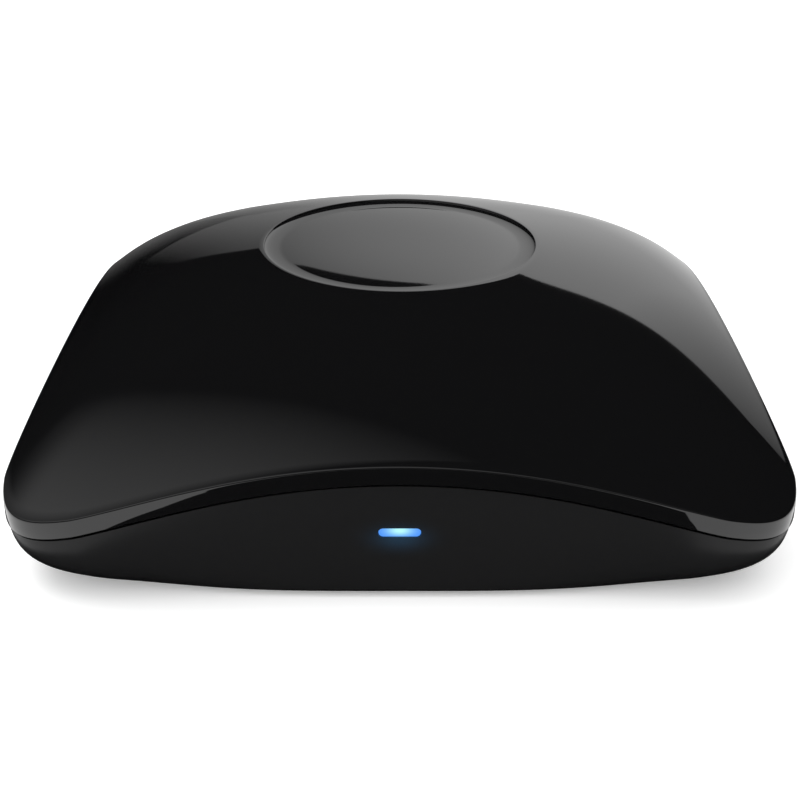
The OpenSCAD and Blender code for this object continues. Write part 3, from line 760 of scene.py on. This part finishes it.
def drawn_metal(name, colour, roughness):
    """Plated metal with a fine drawn grain along Y."""
    made = Finish(name, Metallic=1.0)
    made.surface("drawn_surface", 0.004, Colour=colour, Roughness=roughness)
    return made


def dress(piece, made):
    """Gives a piece one finish on all its faces."""
    piece.data.materials.clear()
    piece.data.materials.append(made.material)


class HUB_OT_cover(bpy.types.Operator):
    """Build the smooth cover over the frame's cover"""

    bl_idname = "hub.cover"
    bl_label = "Cover"

    def execute(self, context):
        cover = build_cover()
        dress(cover, black_gloss())
        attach(cover, "hub")
        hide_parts("top_cover")
        return {"FINISHED"}


class HUB_OT_base(bpy.types.Operator):
    """Build the smooth base over the frame's base"""

    bl_idname = "hub.base"
    bl_label = "Base"

    def execute(self, context):
        base = build_base()
        dress(base, base_gloss())
        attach(base, "hub")
        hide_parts("base_shell")
        return {"FINISHED"}


class HUB_OT_outside(bpy.types.Operator):
    """Finish the frame's parts that show from outside: light, feet, inlet and button"""

    bl_idname = "hub.outside"
    bl_label = "Light, feet, inlet and button"

    def execute(self, context):
        dress(NODES["light_pipe"], lit_window())
        rubber = moulded("foot_rubber", (0.022, 0.022, 0.024), 0.75, mottle=0.5, scale=2500, bump=0.03)
        for number in range(1, 5):
            dress(NODES[f"rubber_foot_{number}"], rubber)
        steel = drawn_metal("screw_steel", (0.55, 0.56, 0.58), 0.32)
        dress(NODES["case_screws"], steel)
        dress(NODES["board_screws"], steel)
        tin = drawn_metal("bright_tin", (0.66, 0.67, 0.69), 0.26)
        for name in ("power_inlet_shell", "wifi_shield_can", "clock_crystal"):
            dress(NODES[name], tin)
        black = moulded("satin_black", (0.015, 0.015, 0.016), 0.35, mottle=0.3, scale=3000, bump=0.01)
        for name in ("power_inlet_tongue", "reset_switch_plunger", "reset_button"):
            dress(NODES[name], black)
        return {"FINISHED"}


class HUB_OT_electronics(bpy.types.Operator):
    """Finish the boards and the parts on them"""

    bl_idname = "hub.electronics"
    bl_label = "Electronics"

    def execute(self, context):
        green = board_mask("board_green", (0.012, 0.09, 0.035), (0.03, 0.2, 0.08))
        blue = board_mask("board_blue", (0.01, 0.04, 0.12), (0.03, 0.1, 0.26))
        dress(NODES["main_board"], green)
        dress(NODES["wifi_board"], blue)
        smoked = moulded("smoked_lens", (0.05, 0.035, 0.08), 0.06, scale=600, bump=0.0, Coat_Weight=0.5)
        for number in range(1, 8):
            dress(NODES[f"ir_emitter_{number}"], smoked)
        dark = moulded("dark_epoxy", (0.02, 0.012, 0.028), 0.12, scale=800)
        dress(NODES["ir_receiver"], dark)
        dress(NODES["status_led"], moulded("led_white", (0.75, 0.78, 0.8), 0.4))
        dress(NODES["wifi_antenna"], moulded("ceramic", (0.72, 0.67, 0.58), 0.5, mottle=0.3))
        housing = moulded("switch_housing", (0.5, 0.5, 0.47), 0.45)
        dress(NODES["reset_switch_body"], housing)
        epoxy = moulded("chip_epoxy", (0.018, 0.018, 0.02), 0.55, mottle=0.6, scale=6000, bump=0.015)
        for name in ("control_chip", "voltage_regulator", "driver_transistors", "emitter_resistors"):
            dress(NODES[name], epoxy)
        sleeve = moulded("capacitor_sleeve", (0.02, 0.025, 0.045), 0.25, scale=1500)
        dress(NODES["filter_capacitor"], sleeve)
        ferrite = moulded("ferrite", (0.045, 0.045, 0.05), 0.7, mottle=0.7, scale=5000, bump=0.03)
        dress(NODES["power_inductor"], ferrite)
        return {"FINISHED"}


# The camera, fitted to the photo. Names that end in PX are in pixels of the photo.
LOOK_AT = Vector((0, 0, 17 * MM))
CAMERA_AWAY = 252.5 * MM
CAMERA_UP = np.radians(23.63)
SENSOR_MM = 36
FRAME_PX = 800
FOCAL_PX = 1386.8
CENTRE_U_PX = 399.75
CENTRE_V_PX = 339.41

# The lamp and the floor, in metres and watts
LAMP_PLACE, LAMP_SIZE, LAMP_POWER = (-0.5, 0.1, 1.1), 0.8, 5.0
LAMP_AIM = Vector((0, 0, 0.01))
FLOOR_SIZE, FLOOR_LOW = 30.0, -0.05 * MM
FLOOR_COLOUR = (0.92, 0.92, 0.92)

# The tent and its light at the front left
TENT_RADIUS = 4.0
TENT_STEPS = (97, 193)
TENT_TOWARD = (-0.74, -0.67, 0)
TENT_GLOW, TENT_FROM, TENT_MOST = 1.75, 0.03, 0.62
TENT_FOOT, TENT_RISE = 0.22, 0.4

# The softbox behind the hub, with places across and up as shares of its distance
SOFTBOX_AWAY = 2.0
SOFTBOX_STEPS = (60, 200)
SOFTBOX_LEFT, SOFTBOX_RIGHT, SOFTBOX_BELOW = -0.4, 1.06, -0.1
SOFTBOX_GLOW, SOFTBOX_GROWTH, SOFTBOX_FADE = 0.71, 0.97, 0.55
ARCH_AT, ARCH_TOP, ARCH_LEFT, ARCH_TILT, ARCH_RIGHT = 0.249, 0.669, 1.13, 0.186, 0.531
ARCH_LEAST = 0.02
FADE_FROM, FADE_OVER, FADE_LEAST = 0.5, 0.66, 0.1

# The cards on the floor
CARD_LIFT = 0.3 * MM
CARD_MM = ((-49.5, -66), (-28.5, -97), (-28.5, -900), (44.5, -900), (44.5, -62), (-49.5, -62))
FOOT_CARD_LIFT, FOOT_CARD_OUT, FOOT_CARD_STEPS = 0.2 * MM, 15 * MM, 96
BACK_CARD_LIFT, BACK_CARD_FROM, BACK_CARD_LONG = 0.35 * MM, 62 * MM, 4.5
BACK_CARD_STEPS = (50, 60)
BACK_CARD_SIDE, BACK_CARD_NEAR = 2.4, 0.1
BACK_CARD_GLOW, BACK_CARD_LEFT, BACK_CARD_FADE, BACK_CARD_EYE = 0.7, 0.3, 0.4, 0.25


def bare_material(name):
    """A material whose node tree is empty."""
    material = bpy.data.materials.new(name)
    material.use_nodes = True
    material.node_tree.nodes.clear()
    return material


def graded_panel(name, points, glow):
    """A sheet on a grid of points whose light is written on its points, and shows only in reflections."""
    panel = mesh_object(name, points.reshape(-1, 3).tolist(), grid_faces(*glow.shape), smooth=False)
    values = panel.data.attributes.new("glow", "FLOAT", "POINT").data
    values.foreach_set("value", glow.ravel().astype(np.float32))
    material = bare_material(name)
    reader = add_node(material.node_tree, "ShaderNodeAttribute", attribute_name="glow")
    light = add_node(material.node_tree, "ShaderNodeEmission", {"Strength": reader.outputs["Fac"]})
    add_node(material.node_tree, "ShaderNodeOutputMaterial", {"Surface": light.outputs[0]})
    material.cycles.emission_sampling = "NONE"
    panel.data.materials.append(material)
    only_reflected(panel)


def only_reflected(thing):
    """Shows a stage object in reflections only, so that it neither lights, shades nor appears."""
    thing.visible_camera = False
    thing.visible_diffuse = False
    thing.visible_transmission = False
    thing.visible_shadow = False


def grid_faces(rows, columns):
    """Quads of a grid of points that are listed row by row."""
    j, i = np.mgrid[0:rows - 1, 0:columns - 1]
    a = (j * columns + i).ravel()
    return np.stack([a, a + 1, a + columns + 1, a + columns], axis=-1).tolist()


def eased_step(x):
    """Zero below 0, one above 1, and 3 x squared less 2 x cubed between them."""
    x = np.clip(x, 0, 1)
    return x * x * (3 - 2 * x)


def fade_right(across):
    """How the light behind the hub fades out towards the right, in a straight line."""
    return np.clip(1 - (across - FADE_FROM) / FADE_OVER, FADE_LEAST, 1)


def back_softbox():
    """The softbox behind the hub: an upright wall whose top is an arch.

    Across is x over the distance. The arch is a parabola on each side of its top, and the light grows
    with the height and fades out towards both ends.
    """
    across = np.linspace(SOFTBOX_LEFT, SOFTBOX_RIGHT, SOFTBOX_STEPS[1])
    t = across - ARCH_AT
    fall = np.where(t < 0, ARCH_LEFT * t ** 2, ARCH_TILT * t + ARCH_RIGHT * t ** 2)
    arch = np.clip(ARCH_TOP - fall, ARCH_LEAST, None)
    height = np.linspace(SOFTBOX_BELOW, 1, SOFTBOX_STEPS[0])[:, None] * arch
    x = np.broadcast_to(across, height.shape)
    glow = SOFTBOX_GLOW + SOFTBOX_GROWTH * np.clip(height, 0, None)
    glow = glow * np.clip((x - SOFTBOX_LEFT) / SOFTBOX_FADE, 0, 1) * fade_right(x)
    points = np.stack([x, np.ones_like(x), height], axis=-1) * SOFTBOX_AWAY
    graded_panel("back_softbox", points, glow)


def black_sheet(name, outline, height):
    """A flat black sheet of this outline that shows only in reflections."""
    corners = np.column_stack([outline, np.full(len(outline), height)])
    sheet = mesh_object(name, corners.tolist(), [tuple(range(len(outline)))], smooth=False)
    black = Finish(name, Base_Color=(0, 0, 0), Roughness=1.0, Specular_IOR_Level=0.0)
    sheet.data.materials.append(black.material)
    only_reflected(sheet)


def dark_tent():
    """A dark dome round the studio, seen only in reflections, with one large soft light at its front left.

    The light goes with the cosine to a level direction at the front left, and fades out near the floor.
    """
    th = np.linspace(0, 2 * np.pi, TENT_STEPS[1])[None, :]
    up = np.linspace(0, np.pi / 2, TENT_STEPS[0])[:, None]
    points = np.stack([np.cos(up) * np.cos(th), np.cos(up) * np.sin(th), np.sin(up) + 0 * th], axis=-1)
    toward = np.clip(points @ np.array(TENT_TOWARD) - TENT_FROM, 0, TENT_MOST)
    glow = TENT_GLOW * toward * eased_step((np.sin(up) - TENT_FOOT) / TENT_RISE)
    graded_panel("dark_tent", points * TENT_RADIUS, glow)


def black_cards():
    """Black cards on the floor in front of the hub and close round it, seen only in its reflections.

    The front one's left edge is cut at a slant, so that its reflection ends slanted in the band.
    The other one follows the base's outline and darkens its foot.
    """
    black_sheet("black_card", np.array(CARD_MM) * MM, CARD_LIFT)
    th = np.linspace(0, 2 * np.pi, FOOT_CARD_STEPS, endpoint=False)
    r = squarish_r(sizes().base_w / 2 + FOOT_CARD_OUT, sizes().base_power, th)
    black_sheet("foot_card", np.column_stack([r * np.cos(th), r * np.sin(th)]), FOOT_CARD_LIFT)


def back_card():
    """A grey card on the floor behind the hub, seen only in its reflections.

    It carries on the back softbox's light below the horizon, dark at the left and fading to the right.
    """
    x = np.linspace(-BACK_CARD_SIDE, BACK_CARD_SIDE, BACK_CARD_STEPS[1])[None, :]
    y = BACK_CARD_FROM + BACK_CARD_LONG * np.linspace(0, 1, BACK_CARD_STEPS[0])[:, None] ** 3
    aside = x * (BACK_CARD_NEAR + y)
    left = eased_step((aside / (BACK_CARD_EYE + y) + BACK_CARD_LEFT) / BACK_CARD_FADE)
    glow = BACK_CARD_GLOW * left * fade_right(aside / (BACK_CARD_NEAR + y))
    points = np.stack([aside, y + 0 * x, BACK_CARD_LIFT + 0 * aside], axis=-1)
    graded_panel("back_card", points, glow)


def pale_floor():
    """The floor: a pale diffuse sheet that keeps the shadow, with white added to what is seen of it."""
    sides = ((-1, -1), (1, -1), (1, 1), (-1, 1))
    corners = [(sx * FLOOR_SIZE, sy * FLOOR_SIZE, FLOOR_LOW) for sx, sy in sides]
    floor = mesh_object("floor", corners, [(0, 1, 2, 3)], smooth=False)
    material = bare_material("pale_floor")
    tree = material.node_tree
    strength = calc(tree, "MULTIPLY", seen_paths(tree), finish().floor_glow)
    glow = add_node(tree, "ShaderNodeEmission", {"Strength": strength})
    sheet = add_node(tree, "ShaderNodeBsdfDiffuse", {"Color": FLOOR_COLOUR})
    both = add_node(tree, "ShaderNodeAddShader", {0: sheet.outputs[0], 1: glow.outputs[0]})
    add_node(tree, "ShaderNodeOutputMaterial", {"Surface": both.outputs[0]})
    floor.data.materials.append(material)


def seen_paths(tree):
    """One where the ray comes from the camera, a reflection or a transmission, and zero elsewhere."""
    path = add_node(tree, "ShaderNodeLightPath").outputs
    reflected = calc(tree, "MAXIMUM", path["Is Camera Ray"], path["Is Glossy Ray"])
    return calc(tree, "MAXIMUM", reflected, path["Is Transmission Ray"])


def white_world():
    """The world: white where it is seen, and a plain soft light for everything else."""
    world = bpy.data.worlds.new("white_world")
    bpy.context.scene.world = world
    world.use_nodes = True
    tree = world.node_tree
    values = {"Value": seen_paths(tree), "To Min": finish().ambient, "To Max": 1.0}
    strength = add_node(tree, "ShaderNodeMapRange", values).outputs[0]
    background = tree.nodes["Background"].inputs
    set_input(tree, background["Color"], (1, 1, 1))
    set_input(tree, background["Strength"], strength)


def soft_lamp(name, place, size, power):
    """A square lamp that points at the hub and doesn't show in reflections."""
    data = bpy.data.lights.new(name, "AREA")
    data.shape = "SQUARE"
    data.size = size
    data.energy = power
    lamp = bpy.data.objects.new(name, data)
    lamp.location = place
    lamp.rotation_euler = (LAMP_AIM - Vector(place)).to_track_quat("-Z", "Y").to_euler()
    lamp.visible_glossy = False
    bpy.context.scene.collection.objects.link(lamp)


def place_camera():
    """The camera in front of the hub, by its distance, its angle above the table and its focal length."""
    data = bpy.data.cameras.new("camera")
    data.sensor_width = SENSOR_MM
    data.lens = FOCAL_PX / FRAME_PX * data.sensor_width
    data.shift_x = (FRAME_PX / 2 - CENTRE_U_PX) / FRAME_PX
    data.shift_y = (CENTRE_V_PX - FRAME_PX / 2) / FRAME_PX
    data.clip_start = 0.01
    camera = bpy.data.objects.new("camera", data)
    away = Vector((0, -np.cos(CAMERA_UP), np.sin(CAMERA_UP))) * CAMERA_AWAY
    camera.location = LOOK_AT + away
    camera.rotation_euler = (-away).to_track_quat("-Z", "Y").to_euler()
    bpy.context.scene.collection.objects.link(camera)
    bpy.context.scene.camera = camera


class HUB_OT_stage(bpy.types.Operator):
    """Set up the camera, floor, tent, cards, softbox, world and lamp"""

    bl_idname = "hub.stage"
    bl_label = "Stage"

    def execute(self, context):
        place_camera()
        pale_floor()
        dark_tent()
        black_cards()
        back_card()
        back_softbox()
        white_world()
        soft_lamp("key_lamp", LAMP_PLACE, LAMP_SIZE, LAMP_POWER)
        context.scene.view_settings.view_transform = "Standard"
        return {"FINISHED"}


OPERATORS = (HUB_OT_cover, HUB_OT_base, HUB_OT_outside, HUB_OT_electronics, HUB_OT_stage)


class HUB_PT_panel(bpy.types.Panel):
    """The hub's pieces, one button each, and its sizes and finishes"""

    bl_idname = "HUB_PT_panel"
    bl_label = "Infrared Hub"
    bl_space_type = "VIEW_3D"
    bl_region_type = "UI"
    bl_category = "Hub"

    def draw(self, context):
        for operator in OPERATORS:
            self.layout.operator(operator.bl_idname)
        for group in (context.scene.hub_sizes, context.scene.hub_finish):
            for name in group.__annotations__:
                self.layout.prop(group, name)


CLASSES = (HubSizes, HubFinish, *OPERATORS, HUB_PT_panel)


def register():
    """Adds the classes to Blender, and the two groups of values to its scenes."""
    for cls in CLASSES:
        bpy.utils.register_class(cls)
    bpy.types.Scene.hub_sizes = PointerProperty(type=HubSizes)
    bpy.types.Scene.hub_finish = PointerProperty(type=HubFinish)


def unregister():
    """Takes away what register adds."""
    del bpy.types.Scene.hub_finish
    del bpy.types.Scene.hub_sizes
    for cls in reversed(CLASSES):
        bpy.utils.unregister_class(cls)


def main():
    """Builds the hub and its stage round the frame."""
    register()
    bpy.ops.hub.cover()
    bpy.ops.hub.base()
    bpy.ops.hub.outside()
    bpy.ops.hub.electronics()
    bpy.ops.hub.stage()


if __name__ == "__main__":
    main()
